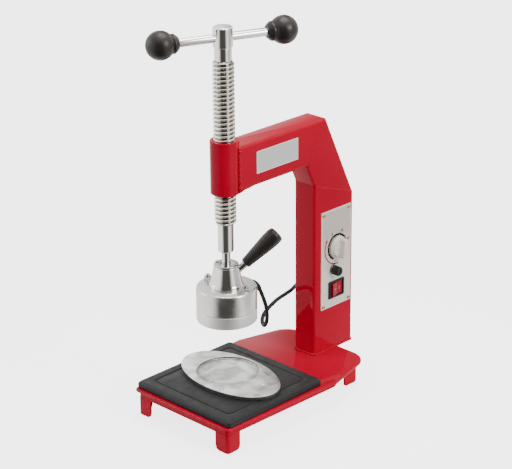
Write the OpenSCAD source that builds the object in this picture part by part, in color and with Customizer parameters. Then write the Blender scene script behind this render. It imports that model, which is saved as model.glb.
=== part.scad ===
// Spot vulcanising press: a cast heater on a hand screw, held by a welded
// box-section frame, presses a patch against a shaping plate on the tray.

/* [Base] */
// Width of the base at its widest point
base_w = 200; // [180:1:240]
// Distance from the screw axis to the front edge of the base
base_front = 95; // [90:1:120]
// Distance from the screw axis to the rear edge of the base
base_rear = 208; // [190:1:240]
// Height of the top face of the base above the table
base_top = 40.4; // [34:0.2:60]
// Thickness of the base sheet
base_sheet = 3; // [2:0.5:5]
// Height of the folded skirt, from its lower edge to the top face
skirt_h = 13.5; // [10:0.5:20]

/* [Frame] */
// Width of the box sections, along X
tube_w = 40; // [36:1:50]
// Depth of the column, along Y
column_d = 82; // [70:1:100]
// Distance from the screw axis to the column's front face
throat = 158; // [140:1:200]
// Height of the arm's lower face above the table
arm_z = 338; // [300:1:400]
// Height of the arm section
arm_h = 62; // [50:1:80]
// Slope of the knee between arm and column, in degrees
knee_angle = 65; // [55:1:75]
// Distance from the screw axis to the inner corner of the knee
knee_y = 142.4; // [120:0.2:150]
// Wall of the box sections
tube_wall = 2.5; // [1.5:0.5:4]
// Outside corner radius of the box sections
tube_r = 4; // [3:0.5:6]

/* [Screw] */
// Outside diameter of the screw thread
thread_d = 30; // [24:1:36]
// Pitch of the screw thread
pitch = 6; // [4:1:8]
// Length of the threaded part
thread_len = 231.4; // [180:0.2:260]
// Height of the thread's lower end above the table
thread_z = 289.6; // [280:0.2:300]
// Outside diameter of the boss that the screw runs in
boss_d = 40; // [38:0.5:50]
// Length of the boss
boss_len = 76; // [70:1:90]
// Diameter of the tommy bar
bar_d = 11.5; // [8:0.5:14]
// Distance between the centres of the two ball knobs
bar_span = 176.6; // [150:0.2:220]
// Direction of the tommy bar at rest, in degrees from +X
bar_angle = 71.3; // [60:0.1:90]
// Diameter of the ball knobs
ball_d = 39.5; // [25:0.5:45]

/* [Heater] */
// Diameter of the heater
heater_d = 85; // [75:1:100]
// Height of the heating face above the table
heater_z = 147; // [140:1:160]
// Thickness of the heating plate
plate_h = 17.7; // [12:0.1:24]
// Height of the casing above the heating plate
casing_h = 32; // [26:1:40]
// Lower diameter of the cone
cone_d1 = 48.6; // [44:0.2:56]
// Upper diameter of the cone
cone_d2 = 34.5; // [34:0.5:40]
// Height of the cone with its retaining plate
cone_h = 33.2; // [30:0.2:40]
// Direction of the head's grip, in degrees from +X
grip_angle = 58; // [30:1:90]
// Slope of the head's grip, in degrees
grip_tilt = 41.5; // [20:0.1:45]
// Length of the head's grip
grip_len = 61.6; // [40:1:80]
// Diameter of the heater lead
lead_d = 5.8; // [4:0.1:8]

/* [Tray and plate] */
// Side of the square tray
tray_w = 185; // [170:1:190]
// Thickness of the tray
tray_h = 10; // [6:0.5:16]
// Length of the oval shaping plate
oval_l = 178; // [150:1:190]
// Width of the oval shaping plate
oval_w = 106; // [100:1:130]
// Thickness of the shaping plate
oval_h = 5.5; // [5:0.5:12]
// Diameter of the round recess in the shaping plate
recess_d = 90; // [70:1:94]

/* [Controls] */
// Width of the control panel, along Y
panel_w = 63; // [58:1:66]
// Height of the control panel
panel_h = 152; // [146:1:170]
// Height of the control panel's lower edge above the table
panel_z = 108; // [70:1:112]
// Diameter of the timer knob's skirt
knob_d = 33; // [24:1:36]
// Length of the switch bezel
bezel_l = 33; // [28:1:36]
// Height of the switch bezel
bezel_h = 27; // [22:1:30]

/* [Hidden] */
$fn = 64;
eps = 0.02;
gap = 0.3;        // clearance between pieces that move past each other
fit = 0.05;       // radial clearance of a running fit

// Mains gland on the column's rear face
gland_out = 10;
gland_z = 78;

// The row's Y origin is halfway between the front ball and the mains gland.
column_rear = throat + column_d;
ball_front = bar_span / 2 * sin(bar_angle) + ball_d / 2;
screw_y = -(column_rear + gland_out - ball_front) / 2;

// Base outline: centres and radii of its three corner arcs on the +X side
front_r = 8;
mid_r = 20;
rear_r = 32;
front_w = 188;
mid_y = 120;
corner_f = [front_w / 2 - front_r, front_r - base_front];
corner_m = [base_w / 2 - mid_r, mid_y];
corner_r = [base_w / 2 - 15 - rear_r, base_rear - rear_r];
skirt_inset = 5;
skirt_wall = 2.5;
leg_wall = 3;
front_leg = 26;
rear_leg = 19;
rear_leg_x = 65;
rear_leg_y = 186.5;

// Knee: its four corners in the YZ plane
arm_top = arm_z + arm_h;
knee_dir = [cos(knee_angle), -sin(knee_angle)];
knee_nrm = [sin(knee_angle), cos(knee_angle)];
knee_in = [knee_y, arm_z];
knee_off = knee_in + arm_h * knee_nrm;
knee_out = knee_off - knee_dir * ((arm_top - knee_off[1]) / sin(knee_angle));
knee_low_in = knee_in + knee_dir * ((throat - knee_y) / cos(knee_angle));
knee_low_out = knee_off + knee_dir * ((column_rear - knee_off[0]) / cos(knee_angle));

// Screw stations, from the thread's ends
thread_root = thread_d / 2 - 3;
neck_d = 24;
neck_len = 18;
hub_d = 27;
hub_len = 28.4;
neck_z = thread_z + thread_len;
hub_z = neck_z + neck_len;
bar_z = hub_z + 13;
shank_d = 22;
shank_len = 40.6;
stem_d = 12.2;
collar_d = 22;
collar_len = 5;

// Head stations
split_z = heater_z + plate_h;
casing_top = split_z + 0.2 + casing_h;
cone_top = casing_top + cone_h;
keeper_h = 3;
cavity_r = 11.2;
cavity_z = cone_top - 17.3;
washer_h = 3.1;
button_r = 10;
button_z = cavity_z + washer_h + 2 * gap;
casing_wall = 3;
stud_r = 3;
stud_pcr = 33.5;
stud_angle = 6;
rod_d = 10;
rod_r0 = 15.5;
rod_r1 = 26.9;
rod_z1 = cone_top - 3.3;
gland_y = heater_d / 2;
head_gland_z = casing_top - 11;

// Tray and shaping plate
tray_y = 3;
tray_step = 1.6;
groove_inset = 16;
groove_w = 2;
groove_deep = 1.2;
oval_pos = [-5.5, 10.3];
oval_turn = -4.5;
oval_z = base_top + tray_h + gap;
recess_pos = [-14.2, 13.9];
recess_deep = 2.2;
dimple_d = 7;
dimples = [[-12.3, -25.3], [21.9, 11.4], [54.7, 16]];

// Controls on the column's +X face
face_x = tube_w / 2;
panel_t = 1.2;
panel_y = throat + 13;
panel_mid = panel_y + panel_w / 2;
screw_inset = 4.5;
knob_z = panel_z + 92;
knob_y = panel_mid + 2;
knob_h = 17;
shaft_r = 3;
scale_r = 19;
fuse_z = panel_z + 58;
fuse_y = panel_mid - 5.5;
fuse_r = 7.5;
switch_z = panel_z + 27;
switch_y = panel_mid;
bezel_t = 2.4;
rocker_l = 24;
rocker_h = 19.6;
rocker_turn = 10;
pivot_r = 1.2;
plate_face = face_x + panel_t;

// Heater lead: centre line of the boot on the head, then of the lead to the column's gland
lead_gland_x = -tube_w / 2;
lead_gland_y = 204;
lead_gland_z = 128;
lead_gland_len = 8;
boot_route = [
  [0, 45.5, 186], [0, 50, 185.5], [0, 54.5, 183.3], [0, 58.5, 180], [0, 61.8, 176.2],
  [0, 64.3, 172]
];
lead_route = [
  [0, 64.3, 172], [0, 68.5, 164], [0, 72.5, 155], [0, 76, 146], [0, 79, 136], [-0.5, 80.5, 126],
  [-2, 81.5, 116], [-6, 83, 108], [-12, 86, 103.5], [-19, 90, 103.5], [-24, 95, 107.5],
  [-26, 101, 113], [-26, 109, 118], [-26, 119, 123], [-26, 132, 127], [-26, 146, 129.5],
  [-28, 158, 130], [-32, 168, 129.5], [-36, 176, 129], [-39.3, 184, 128.5], [-40.3, 191, 128],
  [-38.7, 197, 128], [-34, 202, 128], [-28, 204, 128]
];

function arc(c, r, a0, a1, n = 12) =
  [for (i = [0 : n]) let (a = a0 + (a1 - a0) * i / n) c + r * [cos(a), sin(a)]];

// Outward normal angle of the tangent that joins two circles, on their right-hand side
function tangent(c1, r1, c2, r2) =
  let (v = c2 - c1) atan2(v[1], v[0]) - acos((r1 - r2) / norm(v));

function right_side(d) =
  let (a1 = tangent(corner_f, front_r, corner_m, mid_r),
       a2 = tangent(corner_m, mid_r, corner_r, rear_r))
  concat(arc(corner_f, front_r - d, -90, a1), arc(corner_m, mid_r - d, a1, a2, 4),
         arc(corner_r, rear_r - d, a2, 90, 20));

function base_outline(d) =
  let (p = right_side(d), n = len(p))
  concat(p, [for (i = [0 : n - 1]) [-p[n - 1 - i][0], p[n - 1 - i][1]]]);

function rounded(w, h, r, n = 6) = concat(
  arc([w / 2 - r, h / 2 - r], r, 0, 90, n), arc([r - w / 2, h / 2 - r], r, 90, 180, n),
  arc([r - w / 2, r - h / 2], r, 180, 270, n), arc([w / 2 - r, r - h / 2], r, 270, 360, n));

// Everything below is drawn around the screw axis and moved by this
module at_screw() translate([0, screw_y, 0]) children();

module section(d) difference() {
  polygon(rounded(tube_w, d, tube_r));
  polygon(rounded(tube_w - 2 * tube_wall, d - 2 * tube_wall, tube_r - tube_wall + 0.5));
}

// Half space above the line from p to q in the YZ plane
module beyond(p, q) {
  v = q - p;
  translate([0, p[0], p[1]]) rotate([atan2(v[1], v[0]), 0, 0])
    translate([-200, -300, 0]) cube([400, 700, 400]);
}

module base_plate() color("firebrick") at_screw() difference() {
  translate([0, 0, base_top - base_sheet]) linear_extrude(base_sheet) polygon(base_outline(0));
  for (x = [-1, 1], y = [-1, 1])
    translate([x * 70, tray_y + y * 70, 0]) cylinder(h = 100, r = 2.7);
}

module base_skirt() color("firebrick") at_screw()
  translate([0, 0, base_top - skirt_h]) linear_extrude(skirt_h - base_sheet) difference() {
    polygon(base_outline(skirt_inset));
    polygon(base_outline(skirt_inset + skirt_wall));
  }

// L-shaped feet under the skirt's front corners
module front_legs() color("firebrick") at_screw()
  for (s = [-1, 1]) intersection() {
    linear_extrude(base_top - skirt_h) difference() {
      polygon(base_outline(skirt_inset));
      polygon(base_outline(skirt_inset + leg_wall));
    }
    union() {
      translate([s > 0 ? corner_f[0] - 20 : -corner_f[0] - 40, -base_front - 1, 0])
        cube([60, front_leg + 4, 60]);
    }
  }

module rear_legs() color("firebrick") at_screw()
  for (s = [-1, 1])
    translate([s * rear_leg_x - leg_wall / 2, rear_leg_y - rear_leg / 2, 0])
      cube([leg_wall, rear_leg, base_top - base_sheet]);

module column_tube() color("firebrick") at_screw() difference() {
  translate([0, throat + column_d / 2, base_top]) linear_extrude(arm_z) section(column_d);
  beyond(knee_low_in, knee_low_out);
  translate([0, knob_y, knob_z]) rotate([0, 90, 0]) cylinder(h = 60, r = 6);
  translate([0, fuse_y, fuse_z]) rotate([0, 90, 0]) cylinder(h = 60, r = 6.5);
  translate([0, switch_y - 14, switch_z - 11]) cube([60, 28, 22]);
  translate([lead_gland_x - 20, lead_gland_y, lead_gland_z]) rotate([0, 90, 0])
    cylinder(h = 30, r = 5);
  translate([0, column_rear - 20, gland_z]) rotate([-90, 0, 0]) cylinder(h = 40, r = 7);
}

// Half space below the line from p to q in the YZ plane
module below(p, q) {
  v = q - p;
  translate([0, p[0], p[1]]) rotate([atan2(v[1], v[0]), 0, 0])
    translate([-200, -300, -400]) cube([400, 700, 400]);
}

module knee_tube() color("firebrick") at_screw() {
  mid = (knee_in + knee_off) / 2;
  difference() {
    translate([0, mid[0], mid[1]]) rotate([90 - knee_angle, 0, 0])
      translate([0, 0, -200]) linear_extrude(400) section(arm_h);
    beyond(knee_in, knee_out);
    below(knee_low_in, knee_low_out);
  }
}

module arm_tube() color("firebrick") at_screw() difference() {
  translate([0, 8, arm_z + arm_h / 2]) rotate([-90, 0, 0]) linear_extrude(knee_y + arm_h)
    section(arm_h);
  below(knee_in, knee_out);
  translate([0, 0, arm_z - 1]) cylinder(h = arm_h + 2, r = boss_d / 2 + fit);
}

module screw_boss() color("firebrick") at_screw() translate([0, 0, boss_z()]) difference() {
  cylinder(h = boss_len, d = boss_d, $fn = 96);
  translate([0, 0, -1]) cylinder(h = boss_len + 2, r = thread_d / 2 + fit, $fn = 96);
}
function boss_z() = arm_z - 4;

module column_cap() color("dimgray") at_screw()
  translate([0, throat + column_d / 2, base_top]) linear_extrude(3)
    polygon(rounded(tube_w - 2 * tube_wall - 0.2, column_d - 2 * tube_wall - 0.2, 2));

module tray() color("#2b2c2d") at_screw() translate([0, tray_y, base_top]) difference() {
  union() {
    linear_extrude(tray_h - tray_step) polygon(rounded(tray_w, tray_w, 3.5));
    translate([0, 0, tray_h - tray_step]) linear_extrude(tray_step)
      polygon(rounded(tray_w - 2 * tray_step, tray_w - 2 * tray_step, 3));
  }
  translate([0, 0, tray_h - groove_deep]) linear_extrude(5) difference() {
    polygon(rounded(tray_w - 2 * groove_inset, tray_w - 2 * groove_inset, 5));
    polygon(rounded(tray_w - 2 * groove_inset - 2 * groove_w,
                    tray_w - 2 * groove_inset - 2 * groove_w, 4));
  }
  for (x = [-1, 1], y = [-1, 1]) translate([x * 70, y * 70, -1]) cylinder(h = 7, r = 2.2);
}

module tray_screws() color("silver") at_screw()
  for (x = [-1, 1], y = [-1, 1]) translate([x * 70, tray_y + y * 70, base_top - base_sheet]) {
    translate([0, 0, -2.5]) cylinder(h = 2.5, r = 4.5);
    translate([0, 0, 0]) cylinder(h = base_sheet + 5, r = 2.15);
  }

module nameplate() color("silver") at_screw()
  translate([face_x, 41, arm_z + 17]) rotate([90, 0, 90]) linear_extrude(0.6)
    translate([41, 16]) polygon(rounded(82, 32, 1));

module panel_holes() {
  translate([0, knob_y, knob_z]) rotate([0, 90, 0]) cylinder(h = 60, r = 5);
  translate([0, fuse_y, fuse_z]) rotate([0, 90, 0]) cylinder(h = 60, r = 6.2);
  translate([0, switch_y - 13.7, switch_z - 10.7]) cube([60, 27.4, 21.4]);
  for (p = panel_screw_at()) translate([0, p[0], p[1]]) rotate([0, 90, 0]) cylinder(h = 60, r = 1.5);
}

function panel_screw_at() = [for (y = [screw_inset, panel_w - screw_inset],
  z = [screw_inset, panel_h - screw_inset]) [panel_y + y, panel_z + z]];

module control_panel() color("gainsboro") at_screw() difference() {
  translate([face_x, panel_y, panel_z]) cube([panel_t, panel_w, panel_h]);
  panel_holes();
}

module panel_screws() color("silver") at_screw()
  for (p = panel_screw_at()) translate([plate_face, p[0], p[1]]) rotate([0, 90, 0]) {
    cylinder(h = 1.6, r1 = 3, r2 = 2);
    translate([0, 0, -panel_t]) cylinder(h = panel_t, r = 1.45);
  }

module dial_scale() color("black") at_screw()
  translate([plate_face, knob_y, knob_z]) rotate([0, 90, 0]) difference() {
    cylinder(h = 0.4, r = scale_r);
    translate([0, 0, -1]) cylinder(h = 3, r = scale_r - 1.8);
  }

module timer_body() color("dimgray") at_screw() {
  translate([-12, knob_y - 20, knob_z - 20]) cube([face_x - tube_wall - gap + 12, 40, 40]);
  translate([face_x - tube_wall - gap, knob_y, knob_z]) rotate([0, 90, 0])
    cylinder(h = tube_wall + panel_t + gap + 11, r = shaft_r);
}

module timer_knob() color("ivory") at_screw()
  translate([plate_face + 1, knob_y, knob_z]) rotate([0, 90, 0]) difference() {
    union() {
      cylinder(h = 3, d = knob_d);
      cylinder(h = 6, d = knob_d - 3);
      translate([-knob_d / 2 + 1.5, -5, 0]) cube([knob_d - 3, 10, knob_h]);
    }
    translate([0, 0, -1]) cylinder(h = 13, r = shaft_r + fit);
  }

module switch_housing() color("black") at_screw() {
  switch_case();
  // Pivot pin of the rocker, moulded across the case
  translate([plate_face - 3, switch_y, switch_z - 10.4]) cylinder(h = 20.8, r = pivot_r);
}

module switch_case() difference() {
  union() {
    translate([plate_face, switch_y - bezel_l / 2, switch_z - bezel_h / 2])
      cube([bezel_t, bezel_l, bezel_h]);
    translate([-5, switch_y - 13.5, switch_z - 10.5]) cube([plate_face + 5, 27, 21]);
  }
  translate([plate_face - 12, switch_y - rocker_l / 2 - 0.6, switch_z - rocker_h / 2 - 0.4])
    cube([40, rocker_l + 1.2, rocker_h + 0.8]);
}

// Two-way rocker, drawn with its rear half pressed
module rocker() color("red") at_screw()
  translate([plate_face - 3, switch_y, switch_z - rocker_h / 2]) rotate([0, 0, rocker_turn])
    difference() {
      linear_extrude(rocker_h)
        polygon([[-2.4, -8], [2.5, -rocker_l / 2 + 0.8], [4.9, -rocker_l / 2 + 0.8], [3.4, 0],
                 [4.9, rocker_l / 2 - 0.8], [2.5, rocker_l / 2 - 0.8], [-2.4, 8]]);
      translate([0, 0, -1]) cylinder(h = rocker_h + 2, r = pivot_r + fit);
    }

module fuse_holder() color("#202020") at_screw()
  translate([0, fuse_y, fuse_z]) rotate([0, 90, 0]) difference() {
    union() {
      translate([0, 0, -12]) cylinder(h = plate_face + 12, r = 6.1);
      translate([0, 0, plate_face]) cylinder(h = 2, r = fuse_r + 1);
    }
    translate([0, 0, -8]) cylinder(h = 60, r = 4.4);
  }

module fuse_cap() color("#181818") at_screw()
  translate([plate_face + 2 + gap, fuse_y, fuse_z]) rotate([0, 90, 0]) difference() {
    union() {
      cylinder(h = 11, r = fuse_r - 0.5);
      translate([0, 0, -8]) cylinder(h = 8, r = 4.4 - fit);
    }
    translate([-8, -0.8, 9.6]) cube([16, 1.6, 3]);
    translate([0, 0, -9]) cylinder(h = 6, r = 2.6);
  }

module fuse_link() color("silver") at_screw()
  translate([plate_face + 2 + gap - 3, fuse_y, fuse_z]) rotate([0, -90, 0]) cylinder(h = 20, r = 2.5);

module terminal_block() color("ivory") at_screw() difference() {
  translate([-tube_w / 2 + tube_wall, panel_mid - 16, panel_z - 30]) cube([14, 32, 16]);
  for (i = [-1 : 1]) translate([0, panel_mid + i * 10, panel_z - 22]) rotate([0, -90, 0])
    translate([0, 0, 4]) cylinder(h = 6, r = 2.2);
}

module lead_gland() color("#1a1a1a") at_screw()
  translate([lead_gland_x, lead_gland_y, lead_gland_z]) rotate([0, -90, 0]) {
    cylinder(h = 2.4, r = 7);
    cylinder(h = lead_gland_len, r1 = 5.4, r2 = 4);
    translate([0, 0, -tube_wall]) cylinder(h = tube_wall, r = 4.9);
  }

module mains_gland() color("#1a1a1a") at_screw()
  translate([0, column_rear, gland_z]) rotate([-90, 0, 0]) difference() {
    union() {
      cylinder(h = 4, r = 10);
      cylinder(h = gland_out, r = 8);
      translate([0, 0, -tube_wall - 6]) cylinder(h = tube_wall + 6, r = 6.9);
    }
    translate([0, 0, -20]) cylinder(h = 60, r = 3.8);
  }

module lead_screw() color("silver") at_screw() {
  stem_z = thread_z - shank_len;
  turns = floor(thread_len / pitch);
  groove = [for (i = [0 : turns - 1]) each let (z = thread_z + 1 + i * pitch) [
    [thread_d / 2, z], [thread_root, z + 1], [thread_root, z + 3], [thread_d / 2, z + 4]]];
  difference() {
    rotate_extrude($fn = 96) polygon(concat(
      [[0, button_z], [button_r, button_z], [button_r, cone_top - keeper_h - gap],
       [stem_d / 2, cone_top - keeper_h - gap], [stem_d / 2, stem_z], [shank_d / 2 - 1, stem_z],
       [shank_d / 2, stem_z + 1.5], [shank_d / 2, thread_z], [thread_d / 2, thread_z]],
      groove,
      [[thread_d / 2, neck_z], [neck_d / 2, neck_z], [neck_d / 2, hub_z], [hub_d / 2, hub_z],
       [hub_d / 2, hub_z + hub_len - 1.5], [hub_d / 2 - 1.5, hub_z + hub_len],
       [0, hub_z + hub_len]]));
    translate([0, 0, bar_z]) rotate([0, 90, bar_angle]) translate([0, 0, -30])
      cylinder(h = 60, r = bar_d / 2 + fit);
  }
}

module along_bar() at_screw() translate([0, 0, bar_z]) rotate([0, 90, bar_angle]) children();

module t_bar() color("silver") along_bar()
  translate([0, 0, -bar_span / 2]) cylinder(h = bar_span, d = bar_d);

module ball_knobs() color("#161616") along_bar() for (s = [0, 1]) mirror([0, 0, s])
  difference() {
    union() {
      translate([0, 0, bar_span / 2]) sphere(d = ball_d, $fn = 64);
      translate([0, 0, bar_span / 2 - ball_d / 2 - collar_len + 3]) cylinder(h = 12, d = collar_d);
    }
    translate([0, 0, -1]) cylinder(h = bar_span / 2 + 1, d = bar_d);
  }

module thrust_washer() color("goldenrod") at_screw()
  translate([0, 0, cavity_z + gap]) cylinder(h = washer_h, r = cavity_r - gap);

// Places its children on the grip's axis, +Z along the grip, at the grip's lower end
module on_grip() at_screw() rotate([0, 0, grip_angle]) translate([rod_r1, 0, rod_z1])
  rotate([0, 90 - grip_tilt, 0]) children();

rod_in = (rod_r1 - rod_r0) / cos(grip_tilt);

module head_cone() color("silver") difference() {
  at_screw() rotate_extrude($fn = 96) polygon([
    [0, casing_top], [cone_d1 / 2, casing_top], [cone_d1 / 2, casing_top + 3],
    [cone_d2 / 2, cone_top - keeper_h], [cavity_r, cone_top - keeper_h],
    [cavity_r, cavity_z], [0, cavity_z]]);
  on_grip() translate([0, 0, -rod_in]) cylinder(h = 40, r = rod_d / 2 + fit);
  for (a = [20, 200]) at_screw() rotate([0, 0, a]) translate([14.2, 0, cone_top - 10])
    cylinder(h = 20, r = 1.5);
}

module retaining_plate() color("gainsboro") at_screw()
  translate([0, 0, cone_top - keeper_h]) difference() {
    cylinder(h = keeper_h, d = cone_d2);
    translate([0, 0, -1]) cylinder(h = keeper_h + 2, r = stem_d / 2 + gap);
    for (a = [20, 200]) rotate([0, 0, a]) translate([14.2, 0, -1]) cylinder(h = 9, r = 1.6);
  }

module retaining_screws() color("silver") at_screw()
  for (a = [20, 200]) rotate([0, 0, a]) translate([14.2, 0, cone_top]) {
    cylinder(h = 2, r = 2.6);
    translate([0, 0, -9]) cylinder(h = 9, r = 1.45);
  }

module at_studs() at_screw() for (a = [stud_angle, stud_angle + 180]) rotate([0, 0, a])
  translate([stud_pcr, 0, 0]) children();

module heater_casing() color("lightgray") difference() {
  at_screw() rotate_extrude($fn = 96) polygon([
    [heater_d / 2, split_z + 0.2], [heater_d / 2, casing_top - 3], [heater_d / 2 - 3, casing_top],
    [0, casing_top], [0, casing_top - casing_wall],
    [heater_d / 2 - casing_wall - 2, casing_top - casing_wall],
    [heater_d / 2 - casing_wall, casing_top - casing_wall - 2],
    [heater_d / 2 - casing_wall, split_z + 0.2]]);
  at_studs() translate([0, 0, split_z]) cylinder(h = 60, r = stud_r + 0.1);
  at_screw() translate([0, gland_y - 12, head_gland_z]) rotate([-90, 0, 0]) cylinder(h = 20, r = 4);
}

module heating_plate() color("lightgray") difference() {
  at_screw() translate([0, 0, heater_z]) cylinder(h = plate_h, d = heater_d, $fn = 96);
  at_screw() translate([0, 0, split_z - 6]) difference() {
    cylinder(h = 10, r = 28);
    translate([0, 0, -1]) cylinder(h = 12, r = 16);
  }
  at_studs() translate([0, 0, split_z - 8]) cylinder(h = 10, r = stud_r);
}

module heating_element() color("tan") at_screw() translate([0, 0, split_z - 6]) difference() {
  cylinder(h = 5.8, r = 27.8);
  translate([0, 0, -1]) cylinder(h = 8, r = 16.2);
}

module insulation_disc() color("beige") difference() {
  at_screw() translate([0, 0, split_z]) cylinder(h = 4, r = heater_d / 2 - casing_wall - 0.3);
  at_studs() translate([0, 0, split_z - 1]) cylinder(h = 8, r = stud_r + 0.1);
}

module thermostat() color("whitesmoke") at_screw() translate([0, 14, split_z + 4]) {
  cylinder(h = 7, r = 8.5);
  translate([-6, -1, 7]) cube([1.2, 4, 7]);
  translate([5, -1, 7]) cube([1.2, 4, 7]);
}

module head_studs() color("silver") at_studs() translate([0, 0, split_z - 8])
  cylinder(h = casing_top - split_z + 16.5, r = stud_r);

module stud_nuts() color("silver") at_studs() translate([0, 0, casing_top]) difference() {
  cylinder(h = 5, r = 5.8, $fn = 6);
  translate([0, 0, -1]) cylinder(h = 8, r = stud_r + 0.02);
}

module handle_rod() color("silver") on_grip()
  translate([0, 0, -rod_in]) cylinder(h = rod_in + 40, d = rod_d);

module handle_grip() color("#141414") on_grip() rotate_extrude($fn = 64) polygon([
  [rod_d / 2, 0], [6.8, 0], [7.5, 1.2], [8.3, 10], [10.2, 27], [11.7, grip_len - 19],
  [12.1, grip_len - 9], [11.7, grip_len - 4], [10, grip_len - 1], [7.4, grip_len], [0, grip_len],
  [0, 40], [rod_d / 2, 40]]);

module head_gland() color("#1a1a1a") difference() {
  at_screw() translate([0, gland_y - 3, head_gland_z]) rotate([-90, 0, 0]) cylinder(h = 6, r = 6.4);
  at_screw() cylinder(h = 400, r = heater_d / 2 + eps, $fn = 96);
}

module shaping_plate() color("lightgray") at_screw() difference() {
  translate([oval_pos[0], oval_pos[1], oval_z]) rotate([0, 0, oval_turn]) linear_extrude(oval_h)
    polygon([for (i = [0 : 71]) [oval_l / 2 * cos(i * 5), oval_w / 2 * sin(i * 5)]]);
  translate([recess_pos[0], recess_pos[1], oval_z + oval_h - recess_deep])
    cylinder(h = 10, d = recess_d);
  for (p = dimples) translate([p[0], p[1], oval_z + oval_h - recess_deep - 1])
    cylinder(h = 10, d = dimple_d);
}

module earth_screw() color("goldenrod") at_screw()
  translate([0, throat + tube_wall, panel_z - 20]) rotate([-90, 0, 0]) {
    cylinder(h = 3, r = 4);
    cylinder(h = 8, r = 2);
  }

// Catmull-Rom point on the span from b to c
function spline(a, b, c, d, t) = 0.5 * (2 * b + (c - a) * t
  + (2 * a - 5 * b + 4 * c - d) * t * t + (3 * b - a - 3 * c + d) * t * t * t);
function unit(v) = v / norm(v);
function pick(p, i) = p[min(max(i, 0), len(p) - 1)];
function smooth(p, steps) = [for (i = [0 : len(p) - 2]) for (s = [0 : steps - 1])
  spline(pick(p, i - 1), p[i], p[i + 1], pick(p, i + 2), s / steps), p[len(p) - 1]];

// Direction of a path at point i; its ends take the directions given
function heading(p, i, first, last) = i == 0 ? first : i == len(p) - 1 ? last
  : unit(p[i + 1] - p[i - 1]);
// Reference that the route's direction never meets, so that the rings don't twist
ring_ref = [0.8, 0.3, -0.52];

// Round tube along a path, with a radius for each end
module tube_along(p, r0, r1, first, last, sides = 10) {
  n = len(p);
  rings = [for (i = [0 : n - 1])
    let (h = heading(p, i, first, last), u = unit(cross(h, ring_ref)), v = cross(h, u),
         r = r0 + (r1 - r0) * i / (n - 1))
    for (k = [0 : sides - 1]) let (a = 360 * k / sides) p[i] + r * (cos(a) * u + sin(a) * v)];
  walls = [for (i = [0 : n - 2]) for (k = [0 : sides - 1])
    let (a = i * sides + k, b = i * sides + (k + 1) % sides)
    each [[a, b + sides, b], [a, a + sides, b + sides]]];
  polyhedron(rings, concat([[for (k = [0 : sides - 1]) k]], walls,
    [[for (k = [1 : sides]) n * sides - k]]));
}

boot_end = unit(lead_route[1] - boot_route[len(boot_route) - 2]);

module lead_boot() color("#1a1a1a") at_screw()
  tube_along(smooth(boot_route, 2), 4.6, 3.7, [0, 1, 0], boot_end, 16);

module heater_lead() color("#151515") at_screw()
  tube_along(smooth(lead_route, 2), lead_d / 2, lead_d / 2, boot_end, [1, 0, 0]);

base_plate();
base_skirt();
front_legs();
rear_legs();
column_tube();
knee_tube();
arm_tube();
screw_boss();
column_cap();
tray();
tray_screws();
nameplate();
control_panel();
panel_screws();
dial_scale();
timer_body();
timer_knob();
switch_housing();
rocker();
fuse_holder();
fuse_cap();
fuse_link();
terminal_block();
lead_gland();
mains_gland();
lead_screw();
t_bar();
ball_knobs();
thrust_washer();
head_cone();
retaining_plate();
retaining_screws();
heater_casing();
heating_plate();
heating_element();
insulation_disc();
thermostat();
head_studs();
stud_nuts();
handle_rod();
handle_grip();
head_gland();
lead_boot();
heater_lead();
shaping_plate();
earth_screw();
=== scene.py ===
import math

import bmesh
import bpy
from mathutils import Matrix, Vector


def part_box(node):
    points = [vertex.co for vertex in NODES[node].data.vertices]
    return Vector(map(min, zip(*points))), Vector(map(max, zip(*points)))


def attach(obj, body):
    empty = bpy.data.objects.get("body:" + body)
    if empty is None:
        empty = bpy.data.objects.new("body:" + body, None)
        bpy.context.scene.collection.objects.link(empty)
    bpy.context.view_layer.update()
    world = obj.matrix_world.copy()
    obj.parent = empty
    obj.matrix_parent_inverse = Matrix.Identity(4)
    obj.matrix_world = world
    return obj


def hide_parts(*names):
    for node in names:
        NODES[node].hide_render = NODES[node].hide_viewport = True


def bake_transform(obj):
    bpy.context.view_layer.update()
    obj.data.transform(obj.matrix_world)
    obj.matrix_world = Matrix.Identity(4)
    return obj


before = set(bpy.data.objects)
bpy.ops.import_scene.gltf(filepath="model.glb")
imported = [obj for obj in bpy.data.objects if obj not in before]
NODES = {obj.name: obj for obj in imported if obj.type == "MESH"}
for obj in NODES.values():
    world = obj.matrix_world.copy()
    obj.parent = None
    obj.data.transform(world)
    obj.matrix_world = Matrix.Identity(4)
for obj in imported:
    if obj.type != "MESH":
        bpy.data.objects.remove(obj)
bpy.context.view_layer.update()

MM = 0.001
CREST, ROOT = 15.0, 12.0  # radii of the thread, in millimetres

# The screw's axis on the table is the local origin; local lengths are in millimetres.
screw_lo, screw_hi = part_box("lead_screw")
AXIS = Vector(((screw_lo.x + screw_hi.x) / 2, (screw_lo.y + screw_hi.y) / 2, 0))


class Box:
    """A CAD node's box at rest, in local millimetres."""

    def __init__(self, node):
        lo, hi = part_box(node)
        self.lo = (lo - AXIS) / MM
        self.hi = (hi - AXIS) / MM
        self.mid = (self.lo + self.hi) / 2
        self.size = self.hi - self.lo


def place(x, y, z):
    """A local point in the row frame, in metres."""
    return Vector((x, y, z)) * MM + AXIS


def add_object(name, data):
    made = bpy.data.objects.new(name, data)
    bpy.context.scene.collection.objects.link(made)
    return made


# ------ camera

CAMERA_AT = (1716.2, -1681.5, 1240.7)
CAMERA_AZIMUTH = 44.596
CAMERA_ELEVATION = 21.956
CAMERA_ROLL = -0.5
CAMERA_LENS = 132.99


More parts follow.
